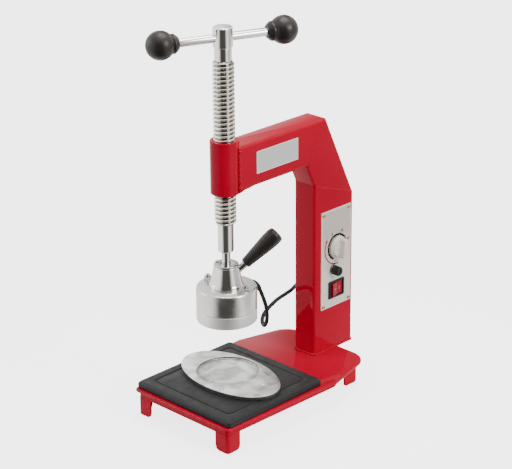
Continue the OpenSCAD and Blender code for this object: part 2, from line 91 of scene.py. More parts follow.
def make_camera():
    a, e, r = (math.radians(v) for v in (CAMERA_AZIMUTH, CAMERA_ELEVATION, CAMERA_ROLL))
    back = Vector((math.sin(a) * math.cos(e), -math.cos(a) * math.cos(e), math.sin(e)))
    right = Vector((math.cos(a), math.sin(a), 0))
    up = back.cross(right)
    side = math.cos(r) * right + math.sin(r) * up
    top = -math.sin(r) * right + math.cos(r) * up
    data = bpy.data.cameras.new("camera")
    data.lens = CAMERA_LENS
    data.sensor_width = 36
    data.clip_end = 20
    camera = add_object("camera", data)
    turn = Matrix((side, top, back)).transposed()
    camera.matrix_world = Matrix.Translation(place(*CAMERA_AT)) @ turn.to_4x4()
    bpy.context.scene.camera = camera


make_camera()

# ------ materials


class Graph:
    """A node tree, and short calls that add nodes to it."""

    def __init__(self, tree):
        self.tree = tree

    def link(self, a, b):
        self.tree.links.new(a, b)

    def add(self, kind, inputs=(), **settings):
        """A new node; inputs maps a socket's name or index to a constant or another socket."""
        made = self.tree.nodes.new(kind)
        for key, value in settings.items():
            setattr(made, key, value)
        for key, value in dict(inputs).items():
            if isinstance(value, bpy.types.NodeSocket):
                self.link(value, made.inputs[key])
            else:
                made.inputs[key].default_value = value
        return made

    def vector(self, operation, a, b=(0, 0, 0), output="Vector"):
        return self.add("ShaderNodeVectorMath", {0: a, 1: b}, operation=operation).outputs[output]

    def spread(self, value, low, high, start=0.0, end=1.0, kind="LINEAR"):
        """Maps low to start and high to end, and holds there."""
        inputs = {"Value": value, "From Min": low, "From Max": high, "To Min": start, "To Max": end}
        return self.add("ShaderNodeMapRange", inputs, interpolation_type=kind).outputs["Result"]

    def mix(self, share, first, second, kind="MIX"):
        inputs = {"Fac": share, "Color1": first, "Color2": second}
        return self.add("ShaderNodeMixRGB", inputs, blend_type=kind).outputs["Color"]


class Finish(Graph):
    """A Principled material, and short calls that wire textures into it."""

    def __init__(self, name, color, rough, metal=0.0, specular=0.5, coat=0.0):
        self.material = bpy.data.materials.new(name)
        self.material.use_nodes = True
        super().__init__(self.material.node_tree)
        self.shader = self.tree.nodes["Principled BSDF"]
        constants = {"Base Color": (*color, 1), "Roughness": rough, "Metallic": metal,
                     "Specular IOR Level": specular, "Coat Weight": coat}
        for socket, value in constants.items():
            self.shader.inputs[socket].default_value = value
        self.place = self.add("ShaderNodeTexCoord").outputs["Object"]

    def stretched(self, x, y, z):
        """Texture coordinates squeezed along some axes, for brushed or drawn grain."""
        return self.add("ShaderNodeMapping", {"Scale": (x, y, z), "Vector": self.place}).outputs[0]

    def noise(self, scale, detail, where=None, distortion=0.0):
        inputs = {"Scale": scale, "Detail": detail, "Distortion": distortion,
                  "Vector": where or self.place}
        return self.add("ShaderNodeTexNoise", inputs).outputs["Fac"]

    def ramp(self, value, *stops):
        """Maps a value through (position, grey or colour) stops."""
        made = self.add("ShaderNodeValToRGB", {"Fac": value})
        points = made.color_ramp.elements
        while len(points) < len(stops):
            points.new(0.5)
        for point, (at, tone) in zip(points, stops):
            point.position = at
            point.color = (*tone, 1) if isinstance(tone, tuple) else (tone, tone, tone, 1)
        return made.outputs["Color"]

    def color(self, value, *stops):
        self.link(self.ramp(value, *stops), self.shader.inputs["Base Color"])

    def rough(self, value, low, high):
        self.link(self.ramp(value, (0.35, low), (0.65, high)), self.shader.inputs["Roughness"])

    def bump(self, value, height_mm, strength):
        """Adds relief to what is there already."""
        made = self.add("ShaderNodeBump", {"Distance": height_mm * MM, "Strength": strength,
                                           "Height": value})
        before = self.shader.inputs["Normal"]
        if before.is_linked:
            self.link(before.links[0].from_socket, made.inputs["Normal"])
        self.link(made.outputs["Normal"], before)


def red_paint():
    f = Finish("red_powder_coat", (0.56, 0.0003, 0.024), 0.1, specular=0.08)
    f.color(f.noise(9, 3), (0.35, (0.49, 0.0002, 0.021)), (0.68, (0.56, 0.0003, 0.027)))
    f.rough(f.noise(40, 2), 0.03, 0.08)
    f.bump(f.noise(130, 2), 0.012, 0.15)
    return f.material


def plated(name, color, low, high):
    """Polished plate: faint waviness and fine wiping marks."""
    f = Finish(name, color, low, 1.0)
    f.rough(f.noise(55, 4), low, high)
    f.bump(f.noise(120, 2), 0.012, 0.4)
    f.bump(f.noise(2600, 1, f.stretched(1, 1, 0.08)), 0.004, 0.25)
    return f.material


def axis_distance(f, centre=AXIS):
    """The level distance from the screw's axis or another upright one, in metres."""
    flat = f.vector("MULTIPLY", f.vector("SUBTRACT", f.place, centre), (1, 1, 0))
    return f.vector("LENGTH", flat, output="Value")


def height_of(f):
    return f.add("ShaderNodeSeparateXYZ", {0: f.place}).outputs["Z"]


def turned(name, color, low, high, metal=1.0):
    """Metal turned on a lathe about the screw's axis: rings on flats, bands on walls."""
    f = Finish(name, color, low, metal)
    rings = f.add("ShaderNodeCombineXYZ", {"X": axis_distance(f), "Y": height_of(f)})
    f.bump(f.noise(2400, 3, rings.outputs[0]), 0.004, 0.3)
    f.rough(f.noise(40, 5), low, high)
    cloud = f.noise(26, 5, distortion=0.5)
    f.color(cloud, (0.3, tuple(c * 0.82 for c in color)), (0.7, color))
    return f.material


def thread_plate():
    """Plated thread, with a painted highlight on the crests and painted shade in the roots."""
    f = Finish("thread_plate", (0.80, 0.79, 0.76), 0.12, 1.0)
    depth = f.spread(axis_distance(f), ROOT * MM, CREST * MM)
    # painted light and shade: dark in the roots, bright on the crests
    f.color(depth, (0.05, (0.20, 0.185, 0.155)), (0.4, (0.52, 0.49, 0.43)), (0.8, (0.90, 0.86, 0.78)))
    f.rough(f.noise(120, 3), 0.10, 0.2)
    f.bump(f.noise(500, 2), 0.006, 0.3)
    return f.material


def phenolic():
    f = Finish("black_phenolic", (0.014, 0.012, 0.011), 0.3, specular=0.36)
    f.color(f.noise(14, 4), (0.35, (0.013, 0.010, 0.009)), (0.7, (0.028, 0.022, 0.019)))
    f.rough(f.noise(60, 4, f.stretched(1, 1, 0.4)), 0.26, 0.46)
    f.bump(f.noise(900, 2), 0.01, 0.3)
    return f.material


def tray_coating():
    f = Finish("tray_coating", (0.02, 0.02, 0.021), 0.45, specular=0.2)
    f.color(f.noise(30, 5), (0.3, (0.017, 0.017, 0.0175)), (0.7, (0.026, 0.026, 0.027)))
    f.rough(f.noise(80, 4), 0.40, 0.54)
    f.bump(f.noise(1500, 3), 0.06, 0.5)
    return f.material


def cast_aluminium(name="cast_aluminium", recess_shade=None):
    """Cast and tumbled aluminium with cloudy patches; the optional last argument is (centre, radius) of
    a ring of painted shade that darkens the floor towards a recess wall.
    """
    f = Finish(name, (0.7, 0.7, 0.7), 0.4, 1.0)
    cloud = f.ramp(f.noise(38, 7, distortion=0.8), (0.38, 0.52), (0.52, 0.80), (0.62, 0.94))
    if recess_shade:
        centre, radius = recess_shade
        out = axis_distance(f, centre)
        # painted shade: the colour darkens towards the recess wall
        wall_shade = f.ramp(out, (radius * 0.74, 1.0), (radius * 0.93, 0.62), (radius, 0.10))
        cloud = f.mix(1, cloud, wall_shade, "MULTIPLY")
    f.link(cloud, f.shader.inputs["Base Color"])
    f.rough(f.noise(45, 6), 0.24, 0.44)
    f.bump(f.noise(34, 4), 0.35, 0.5)
    f.bump(f.noise(260, 3), 0.05, 0.4)
    return f.material


def label_sheet(name="label_sheet", low=(0.97, 0.89, 0.80), high=(0.66, 0.59, 0.53)):
    """Brushed label sheet, with painted shade that darkens it from low down to higher up the panel."""
    low_z, high_z = 0.12, 0.26  # metres above the table
    f = Finish(name, low, 0.38, 0.1)
    f.rough(f.noise(1800, 2, f.stretched(1, 0.02, 1)), 0.30, 0.46)
    # painted shade: light tone low down, darker tone higher up
    f.color(f.spread(height_of(f), low_z, high_z), (0.3, low), (0.75, high))
    f.bump(f.noise(2400, 1, f.stretched(1, 0.02, 1)), 0.008, 0.4)
    return f.material


def moulded(name, color, low, high, height=0.02, **gloss):
    """Moulded plastic or rubber with a fine surface grain and slight colour drift."""
    f = Finish(name, color, low, **gloss)
    darker, lighter = (tuple(c * k for c in color) for k in (0.9, 1.06))
    f.color(f.noise(40, 3), (0.3, darker), (0.7, lighter))
    f.rough(f.noise(130, 3), low, high)
    f.bump(f.noise(1300, 2), height, 0.5)
    return f.material


MATERIALS = {
    "red_paint": red_paint(),
    "chrome": plated("chrome_plate", (0.80, 0.79, 0.77), 0.05, 0.12),
    "zinc_steel": plated("zinc_plate", (0.43, 0.42, 0.40), 0.12, 0.28),
    "turned_steel": turned("turned_steel", (0.72, 0.71, 0.685), 0.20, 0.33),
    "phenolic": phenolic(),
    "tray_coating": tray_coating(),
    "cast_aluminium": cast_aluminium(),
    "silver_label": label_sheet(),
    "black_plastic": moulded("black_plastic", (0.010, 0.010, 0.010), 0.34, 0.5, specular=0.3),
    "black_print": moulded("black_print", (0.004, 0.004, 0.004), 0.5, 0.6, 0.004, specular=0.1),
    "grey_plastic": moulded("grey_plastic", (0.20, 0.21, 0.22), 0.4, 0.55),
    "ivory_plastic": moulded("ivory_plastic", (0.93, 0.87, 0.76), 0.2, 0.32, 0.006, coat=0.1),
    "red_plastic": moulded("red_plastic", (0.42, 0.001, 0.02), 0.16, 0.26, 0.004, specular=0.12),
    "glass_fuse": moulded("glass_fuse", (0.80, 0.84, 0.84), 0.08, 0.14, 0.002),
    "brass": plated("brass", (0.72, 0.52, 0.22), 0.2, 0.34),
    "ceramic": moulded("ceramic", (0.74, 0.70, 0.62), 0.5, 0.65),
    "rubber": moulded("rubber", (0.012, 0.012, 0.012), 0.42, 0.56, specular=0.22),
}
dull_steel = turned("dull_turned_steel", (0.86, 0.85, 0.83), 0.42, 0.55, 0.8)
shaded_thread = thread_plate()
# painted shade: a dark copy of the cast aluminium for upright walls
shaded_cast_edge = moulded("cast_aluminium_edge_shade", (0.10, 0.10, 0.10), 0.45, 0.6, 0.05, metal=0.35)
bright_label = label_sheet("label_border", (0.98, 0.93, 0.86), (0.95, 0.89, 0.82))
yellow_zinc = plated("yellow_zinc_plate", (0.52, 0.42, 0.24), 0.2, 0.34)
# painted shade: a near-black copy of the coating for the tray's groove
groove_shade = moulded("groove_shade", (0.003, 0.003, 0.003), 0.8, 0.9)
red_print = moulded("red_print", (0.50, 0.002, 0.03), 0.45, 0.55, 0.004, specular=0.1)
white_print = moulded("white_print", (0.82, 0.82, 0.80), 0.45, 0.55, 0.004)

# ------ mesh tools

SHARP = math.radians(32)
# Turns a flat shape to face right: its X runs to the rear, its Y up and its Z out.
WALL = Matrix(((0, 0, 1, 0), (1, 0, 0, 0), (0, 1, 0, 0), (0, 0, 0, 1)))


def shift(x, y, z=0):
    return Matrix.Translation((x, y, z))


def spin(angle, axis="Z"):
    return Matrix.Rotation(angle, 4, axis)


def polar(r, angle):
    return r * math.cos(angle), r * math.sin(angle)


def full_turn(count):
    """Even angles once round."""
    return [2 * math.pi * i / count for i in range(count)]


def level(outline, z):
    return [Vector((x, y, z)) for x, y in outline]


def line(a, b, steps=6):
    """Points spaced evenly from a to b."""
    a, b = Vector(a), Vector(b)
    return [a.lerp(b, i / steps) for i in range(steps + 1)]


def length_of(points):
    return sum((b - a).length for a, b in zip(points, points[1:]))


def shade(data):
    """Smooth faces, with sharp edges where they turn by more than SHARP."""
    for p in data.polygons:
        p.use_smooth = True
    data.set_sharp_from_angle(angle=SHARP)


def piece(name, mesh, body, slot, replaces=(), material=None):
    """Makes a finished object from a bmesh in local millimetres."""
    bmesh.ops.recalc_face_normals(mesh, faces=mesh.faces)
    data = bpy.data.meshes.new(name)
    for v in mesh.verts:
        v.co = v.co * MM + AXIS
    mesh.to_mesh(data)
    mesh.free()
    shade(data)
    obj = add_object(name, data)
    data.materials.append(material or MATERIALS[slot])
    if body:
        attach(obj, body)
    if replaces:
        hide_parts(*replaces)
    return obj


def bevel(obj, width_mm):
    """Softens an object's edges where its faces turn by more than 30 degrees."""
    made = obj.modifiers.new("edges", "BEVEL")
    made.width = width_mm * MM
    made.segments = 2
    made.limit_method = "ANGLE"
    made.angle_limit = math.radians(30)
    made.harden_normals = True


def skin(rings, caps=True, frame_at=Matrix()):
    """Joins rings of points into a skin, with a flat cap at each end or, without, welded."""
    mesh = bmesh.new()
    rows = [[mesh.verts.new(p) for p in ring] for ring in rings]
    for a, b in zip(rows, rows[1:]):
        for i in range(len(a)):
            j = (i + 1) % len(a)
            mesh.faces.new((a[i], a[j], b[j], b[i]))
    if caps:
        mesh.faces.new(list(reversed(rows[0])))
        mesh.faces.new(rows[-1])
    else:
        bmesh.ops.remove_doubles(mesh, verts=mesh.verts, dist=0.002)
    mesh.transform(frame_at)
    return mesh


def rounded(points, radius, steps=4, closed=False):
    """A polyline with its corners rounded, each by at most half of its shorter side."""
    count = len(points)
    out = []
    for i, p in enumerate(points):
        p = Vector(p)
        if not closed and i in (0, count - 1):
            out.append(tuple(p))
            continue
        a = Vector(points[i - 1]) - p
        b = Vector(points[(i + 1) % count]) - p
        r = radius[i] if isinstance(radius, list) else radius
        r = min(r, a.length * 0.48, b.length * 0.48)
        if r < 0.01:
            out.append(tuple(p))
            continue
        start, end = p + a.normalized() * r, p + b.normalized() * r
        for s in range(steps + 1):
            t = s / steps
            out.append(tuple(start * (1 - t) ** 2 + p * 2 * t * (1 - t) + end * t ** 2))
    return out


def lathe(profile, frame_at=Matrix(), segments=96, caps=True):
    """Turns a profile of (radius, height) about Z, or about the Z axis of a matrix."""
    mesh = skin([level([polar(max(r, 0.001), t) for t in full_turn(segments)], z)
                 for r, z in profile], caps)
    bmesh.ops.remove_doubles(mesh, verts=mesh.verts, dist=0.004)
    mesh.transform(frame_at)
    return mesh


def prism(outline, low, high, frame_at):
    """Extrudes a closed outline of (x, y) from low to high along the Z axis of a matrix."""
    return skin([level(outline, low), level(outline, high)], frame_at=frame_at)


def rectangle(w, h, r, steps):
    corners = [(w / 2, h / 2), (-w / 2, h / 2), (-w / 2, -h / 2), (w / 2, -h / 2)]
    return rounded(corners, r, steps, closed=True)


def sweep(path, radius, sides):
    """A tube along a path; radius may be a function of the distance along it."""
    pts = [Vector(p) for p in path]
    rings, along, side = [], 0.0, Vector((0.31, 0.2, 0.93))
    for i, p in enumerate(pts):
        ahead = (pts[min(i + 1, len(pts) - 1)] - pts[max(i - 1, 0)]).normalized()
        if i:
            along += (p - pts[i - 1]).length
        else:
            side = ahead.cross(side).normalized()
        side = (side - ahead * side.dot(ahead)).normalized()
        other = ahead.cross(side)
        r = radius(along) if callable(radius) else radius
        rings.append([p + side * r * math.cos(t) + other * r * math.sin(t) for t in full_turn(sides)])
    return skin(rings)


def spline(points, steps):
    """Points along a smooth curve through the given ones."""
    pts = [Vector(p) for p in points]
    out = []
    for i in range(len(pts) - 1):
        a, b, c, d = pts[max(i - 1, 0)], pts[i], pts[i + 1], pts[min(i + 2, len(pts) - 1)]
        for s in range(steps):
            t = s / steps
            out.append(0.5 * (2 * b + (c - a) * t + (2 * a - 5 * b + 4 * c - d) * t * t
                              + (3 * b - a - 3 * c + d) * t ** 3))
    return out + [pts[-1]]


def cut(obj, cutter_mesh):
    """Takes a closed shape away from an object for good."""
    cutter = piece(obj.name + "_cutter", cutter_mesh, None, "rubber")
    made = obj.modifiers.new("cut", "BOOLEAN")
    made.operation = "DIFFERENCE"
    made.solver = "EXACT"
    made.object = cutter
    bpy.context.view_layer.update()
    result = obj.evaluated_get(bpy.context.evaluated_depsgraph_get())
    fresh = bpy.data.meshes.new_from_object(result)
    obj.modifiers.clear()
    obj.data = fresh
    bpy.data.objects.remove(cutter)
    shade(fresh)


def refine(node, slot, width_mm, material=None):
    """Gives a CAD node its material and soft edges; its own mesh stays as it is."""
    obj = NODES[node]
    obj.data.materials.clear()
    obj.data.materials.append(material or MATERIALS[slot])
    with bpy.context.temp_override(object=obj, active_object=obj):
        bpy.ops.mesh.customdata_custom_splitnormals_clear()
    for p in obj.data.polygons:
        p.use_smooth = True
    weld = obj.modifiers.new("weld", "WELD")
    weld.merge_threshold = 0.004 * MM
    flat = obj.modifiers.new("flat", "DECIMATE")
    flat.decimate_type = "DISSOLVE"
    flat.angle_limit = math.radians(0.4)
    bevel(obj, width_mm)


# ------ heater lead

LEAD_D = 5.8
# Both routes are those of part.scad, from the head towards the column.
BOOT_ROUTE = [
    (0, 45.5, 186), (0, 50, 185.5), (0, 54.5, 183.3), (0, 58.5, 180), (0, 61.8, 176.2),
    (0, 64.3, 172),
]
LEAD_ROUTE = [
    (0, 64.3, 172), (0, 68.5, 164), (0, 72.5, 155), (0, 76, 146), (0, 79, 136),
    (-0.5, 80.5, 126), (-2, 81.5, 116), (-6, 83, 108), (-12, 86, 103.5), (-19, 90, 103.5),
    (-24, 95, 107.5), (-26, 101, 113), (-26, 109, 118), (-26, 119, 123), (-26, 132, 127),
    (-26, 146, 129.5), (-28, 158, 130), (-32, 168, 129.5), (-36, 176, 129),
    (-39.3, 184, 128.5), (-40.3, 191, 128), (-38.7, 197, 128), (-34, 202, 128), (-28, 204, 128),
]
LEAD_SPLIT = 6  # the joined route's point where its two stretches meet


def make_lead():
    """Two stretches of one lead: the upper starts at the head, the lower reaches the column."""
    steps = 6
    path = spline(BOOT_ROUTE[2:] + LEAD_ROUTE[1:], steps)  # it starts inside the boot
    split = LEAD_SPLIT * steps
    for name, part in (("heater_lead_upper", path[:split + 1]), ("heater_lead_lower", path[split:])):
        lead = piece(name, sweep(part, LEAD_D / 2, 16), None, "rubber")
        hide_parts("heater_lead")
        if name == "heater_lead_upper":
            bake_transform(lead)
        else:
            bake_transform(lead)


make_lead()


def make_boot():
    """The bend-relief boot: a taper with four grooves."""
    path = spline(BOOT_ROUTE, 8)
    total = length_of(path)
    wide, narrow, groove_depth = 4.6, 3.6, 0.35

    def radius(s):
        t = s / total
        groove = max(0, math.sin(t * 9 * math.pi)) ** 6 if 0.15 < t < 0.95 else 0
        return wide + (narrow - wide) * t - groove_depth * groove

    piece("lead_boot_moulded", sweep(path, radius, 24), "head", "rubber", ["lead_boot"])


make_boot()

# ------ welded frame

for node in ("column_tube", "knee_tube", "arm_tube"):
    refine(node, "red_paint", 0.5)
refine("screw_boss", "red_paint", 1.2)

base, skirt, legs = Box("base_plate"), Box("base_skirt"), Box("front_legs")
REAR_R, REAR_X = 32, 53
MID_R, MID_Y = 20, 120
FRONT_R, FRONT_X = 8, 94
FOLD_FULL_Y, FOLD_SHORT_Y = 112, 136  # the fold under the sheet gets shallow towards the rear
FOLD_SHORT = 2.5  # its depth there
SIDES = ((1, "right"), (-1, "left"))


def arc(cx, cy, r, start, end, count=10):
    """Points along part of a circle; angles in degrees."""
    angles = [math.radians(start + (end - start) * i / count) for i in range(count + 1)]
    return [(cx + r * math.cos(t), cy + r * math.sin(t)) for t in angles]


def facing(c1, r1, c2, r2):
    """Outward angle, in degrees, of the line that touches two circles on their right."""
    dx, dy = c2[0] - c1[0], c2[1] - c1[1]
    return math.degrees(math.atan2(dy, dx) - math.acos((r1 - r2) / math.hypot(dx, dy)))


def base_outline(inset, front_r=None):
    """The base's outline, drawn in by a distance; the front corners may be rounder."""
    fr = FRONT_R - inset if front_r is None else front_r
    front = (FRONT_X - inset - fr, base.lo.y + inset + fr)
    mid = (base.hi.x - MID_R, MID_Y)
    rear = (REAR_X, base.hi.y - REAR_R)
    a1 = facing(front, fr, mid, MID_R - inset)
    a2 = facing(mid, MID_R - inset, rear, REAR_R - inset)
    side = arc(*front, fr, -90, a1) + arc(*mid, MID_R - inset, a1, a2) \
        + arc(*rear, REAR_R - inset, a2, 90, 16)
    return side + [(-x, y) for x, y in reversed(side)]


def make_base():
    """The base sheet with a rolled edge, and the folded skirt that carries it."""
    low, top, foot = base.lo.z, base.hi.z, skirt.lo.z
    edge = [(4.4, low - 0.4), (3.2, low - 1.1), (1.7, low - 1.3), (0.6, low - 0.8), (0, low + 0.5),
            (0.1, top - 1.2), (0.9, top - 0.3), (2.2, top)]
    piece("base_sheet", skin([level(base_outline(d), z) for d, z in edge]), "frame", "red_paint",
          ["base_plate"])
    wall = [(5, low - 0.2), (5, foot + 0.7), (5.7, foot), (6.8, foot), (7.5, foot + 0.7),
            (7.5, low - 0.2), (5, low - 0.2)]
    rings = [level(base_outline(d, 5.5 - (d - 5) * 0.5), z) for d, z in wall]
    for v in (v for ring in rings for v in ring if v.z < low - 1):
        t = min(max((v.y - FOLD_FULL_Y) / (FOLD_SHORT_Y - FOLD_FULL_Y), 0), 1)
        v.z += (low - FOLD_SHORT - foot) * t * t * (3 - 2 * t)
    piece("base_fold", skin(rings, caps=False), "frame", "red_paint", ["base_skirt"])


make_base()


def make_front_leg(side, name):
    """An L of bent sheet with a rounded bend and rounded lower corners."""
    x, y, thick, corner = legs.hi.x, legs.lo.y, 3.0, 7.0
    reach, top = 24, skirt.lo.z + 1.0
    bend = rounded([(x, y + reach), (x, y), (x - reach, y)], 5.5, 8)
    dense = [Vector(bend[0])]
    for p, q in zip(bend, bend[1:]):
        dense += line(p, q, max(1, int(math.dist(p, q) / 1.2)))[1:]
    rings = []
    for i, p in enumerate(dense):
        ahead = dense[min(i + 1, len(dense) - 1)] - dense[max(i - 1, 0)]
        inward = Vector((-ahead.y, ahead.x, 0)).normalized()
        if inward.x > inward.y:
            inward = -inward
        near = min(length_of(dense[:i + 1]), length_of(dense[i:]), corner)
        foot = corner - math.sqrt(max(0, corner ** 2 - (corner - near) ** 2))
        outer = Vector((*p, 0))
        inner = outer + inward * thick
        rings.append([v + Vector((0, 0, z)) for v, z in
                      ((outer, top), (outer, foot + 0.5), (outer + inward * 0.5, foot),
                       (inner - inward * 0.5, foot), (inner, foot + 0.5), (inner, top))])
    mesh = skin(rings, frame_at=Matrix.Diagonal((side, 1, 1, 1)))
    piece(f"front_leg_{name}", mesh, "frame", "red_paint", ["front_legs"])


def make_rear_leg(side, name):
    """A flat foot with rounded lower corners."""
    box, reach, half_thick = Box("rear_legs"), 13.0, 1.5
    x, y = box.hi.x - half_thick, box.mid.y
    top = base.lo.z - 0.2
    outline = rounded([(y - reach, top), (y - reach, 0), (y + reach - 1, 0), (y + reach - 1, top)],
                      [0, 5, 5, 0], 6, closed=True)
    mesh = prism(outline, -half_thick, half_thick, shift(side * x, 0) @ WALL)
    bevel(piece(f"rear_leg_{name}", mesh, "frame", "red_paint", ["rear_legs"]), 0.6)


for make_leg in (make_front_leg, make_rear_leg):
    for side, name in SIDES:
        make_leg(side, name)

column, knee, arm, boss = map(Box, ("column_tube", "knee_tube", "arm_tube", "screw_boss"))


def bead(name, path, r, seed):
    """A weld bead under paint: a flattened rope with uneven ripples."""
    pts = spline(path, 10)
    dense = [pts[0]]
    for p in pts[1:]:
        if (p - dense[-1]).length > 0.9:
            dense.append(p)

    def radius(s):
        return r * (1 + 0.17 * math.sin(s * 1.7 + seed) + 0.12 * math.sin(s * 0.71 + seed * 3))

    piece(name, sweep(dense, radius, 10), "frame", "red_paint")


def make_welds():
    """Beads along both mitres, beside and under the boss, round the column's foot and on the legs."""
    half, sheet = column.hi.x, base.hi.z + 0.5
    knee_slope = math.tan(math.radians(65))
    fold_z = arm.lo.z - (column.lo.y - knee.lo.y) * knee_slope
    bx, by = polar(boss.hi.x, math.radians(24))
    for s, side in SIDES:
        x = s * (half - 0.5)
        bead(f"mitre_weld_upper_{side[0]}",
             line((x, knee.lo.y + 1, arm.lo.z + 1), (x, arm.hi.y - 2, arm.hi.z - 3)), 0.9, s)
        bead(f"mitre_weld_lower_{side[0]}",
             line((x, column.lo.y + 2, fold_z - 1), (x, column.hi.y - 2, knee.lo.z + 1)), 0.9, s)
        x, y = s * (bx + 0.6), by + 1.2
        bead(f"boss_weld_{side[0]}",
             line((x, y, arm.lo.z + 2), (x, y, arm.hi.z + 0.5), 9), 2.7, 2 * s)
        x = s * (half + 0.2)
        bead(f"foot_weld_{side[0]}",
             line((x, column.lo.y + 2, sheet), (x, column.hi.y - 2, sheet), 12), 1.5, s)
        y, z = legs.lo.y + 0.2, skirt.lo.z + 0.6
        bead(f"leg_weld_{side[0]}",
             line((s * (legs.hi.x - 22), y, z), (s * (legs.hi.x - 6), y, z), 6), 0.7, s)
    for name, y in (("front", column.lo.y - 0.2), ("rear", column.hi.y + 0.2)):
        bead(f"foot_weld_{name}", line((2 - half, y, sheet), (half - 2, y, sheet), 8), 1.5, y)
    bead("foot_weld_corner", line((half - 5, column.lo.y - 1, sheet + 0.5),
                                  (half + 1.2, column.lo.y + 2, sheet + 0.5), 4), 2.1, 1)
    saddle = [(*polar(20.6, math.radians(t)), arm.lo.z - 0.6) for t in range(20, 161, 10)]
    bead("boss_weld_under", saddle, 1.6, 4)


make_welds()


def make_boss_fillet():
    """The hollow fillet under the arm, from the boss's foot to the arm's lower face."""
    reach, boss_r = 36, 20  # the fillet runs from the boss's wall to this far along the arm
    curve = [(0, boss.lo.z + 0.4), (0.2, boss.lo.z + 0.7), (0.4, boss.lo.z + 2.8),
             (0.66, arm.lo.z - 0.9), (1, arm.lo.z + 0.2), (1, arm.lo.z + 1), (0, arm.lo.z + 1)]
    rings = []
    for x in (-18.5, -17.5, -14, -9, -3, 3, 9, 14, 17.5, 18.5):
        start = math.sqrt(boss_r ** 2 - x ** 2)
        rings.append([Vector((x, start + (reach - start) * t, z)) for t, z in curve])
    bevel(piece("boss_fillet", skin(rings), "frame", "red_paint"), 0.5)


make_boss_fillet()

# ------ screw and bar

screw, bar_box, balls = Box("lead_screw"), Box("t_bar"), Box("ball_knobs")
PITCH = 6
bar_frame = shift(0, 0, bar_box.mid.z) @ spin(math.atan2(bar_box.size.y, bar_box.size.x)) \
    @ spin(math.pi / 2, "Y")
# Heights where the screw's outline changes, from the top down.
hub_top = screw.hi.z
hub_low = hub_top - 28.4
neck_low = hub_low - 18
thread_low = neck_low - 231.4
shank_low = thread_low - 40.6


def helical_thread(low, high):
    """A rounded trapezoidal thread, right-handed, that runs out at both ends."""
    shape = [(0.00, 0.0), (0.10, 0.0), (0.20, 0.12), (0.30, 0.88), (0.38, 1.0), (0.50, 1.0),
             (0.62, 1.0), (0.70, 0.88), (0.80, 0.12), (0.90, 0.0)]
    segments, run_out = 64, 3.0
    turns = int((high - low) / PITCH) + 3
    mesh = bmesh.new()
    columns = []
    for i in range(segments + 1):
        angle = 2 * math.pi * i / segments
        verts = []
        for k in range(-1, turns):
            for at, rise in shape:
                z = min(max(low + PITCH * (k - 1 + at + i / segments), low), high)
                fade = min(1, (z - low) / run_out, (high - z) / run_out)
                r = ROOT + (CREST - ROOT) * rise * max(0, fade)
                verts.append(mesh.verts.new((*polar(r, angle), z)))
        columns.append(verts)
    for a, b in zip(columns, columns[1:]):
        for k in range(len(a) - 1):
            mesh.faces.new((a[k], b[k], b[k + 1], a[k + 1]))
    bmesh.ops.remove_doubles(mesh, verts=mesh.verts, dist=0.002)
    bmesh.ops.dissolve_degenerate(mesh, edges=mesh.edges, dist=0.002)
    holes = [e for e in mesh.edges if e.is_boundary]
    bmesh.ops.holes_fill(mesh, edges=holes, sides=0)
    return mesh


def make_screw():
    """The thread, the shank with its button, and the head with the hole for the bar."""
    piece("screw_thread", helical_thread(thread_low, neck_low), "screw", "chrome", ["lead_screw"],
          shaded_thread)
    stem = rounded([(0, screw.lo.z), (10, screw.lo.z), (10, screw.lo.z + 10), (6.1, screw.lo.z + 10),
                    (6.1, shank_low), (10.6, shank_low), (11, shank_low + 1.6), (11, thread_low - 0.2),
                    (ROOT, thread_low - 0.2), (ROOT, thread_low), (0, thread_low)], 0.5)
    piece("screw_shank", lathe(stem), "screw", "chrome", ["lead_screw"])
    head = rounded([(0, neck_low), (ROOT - 0.2, neck_low), (ROOT - 0.2, hub_low - 1.4),
                    (11.6, hub_low - 0.9), (11.6, hub_low), (13.5, hub_low + 0.9),
                    (13.5, hub_top - 1.8), (11.8, hub_top), (0, hub_top)], 0.6)
    hub = piece("screw_head", lathe(head), "screw", "chrome", ["lead_screw"])
    hole = [(0, -30), (9, -30), (9, -13.4), (5.9, -11.2), (5.9, 11.2), (9, 13.4), (9, 30), (0, 30)]
    cut(hub, lathe(hole, bar_frame, 64))


make_screw()
BAR_R = bar_box.size.z / 2
BALL_R = balls.size.z / 2
ball_at = math.hypot(balls.size.x - 2 * BALL_R, balls.size.y - 2 * BALL_R) / 2


def make_bar():
    """The tommy bar, and a ball knob with a stepped collar at each end."""
    end = ball_at - 2
    rod = rounded([(0, -end), (BAR_R, -end), (BAR_R, end), (0, end)], 0.5)
    piece("tommy_bar", lathe(rod, bar_frame, 64), "bar", "chrome", ["t_bar"])
    root = ball_at - BALL_R
    profile = [(BAR_R + 0.05, root - 5.2), (8.6, root - 5.2), (9.7, root - 4.1), (12.7, root - 0.4),
               (13.5, root + 1.0), (13.5, root + 3.3), (12.6, root + 4.1), (12.6, root + 4.7)]
    profile = rounded(profile, 0.6, 3)
    start = math.acos(13.1 / BALL_R)
    for i in range(41):
        x, y = polar(BALL_R, -start + (math.pi / 2 + start) * i / 40)
        profile.append((x, ball_at + y))
    profile = [(0, root + 8), (BAR_R + 0.05, root + 8)] + profile + [(0, ball_at + BALL_R)]
    for side, end_name in ((1, "rear"), (-1, "front")):
        ball = lathe(profile, bar_frame @ Matrix.Diagonal((1, 1, side, 1)), 72)
        piece(f"ball_knob_{end_name}", ball, "bar", "phenolic", ["ball_knobs"])


make_bar()

# ------ heated head

casing, plate, cone, keeper = map(Box, ("heater_casing", "heating_plate", "head_cone",
                                        "retaining_plate"))


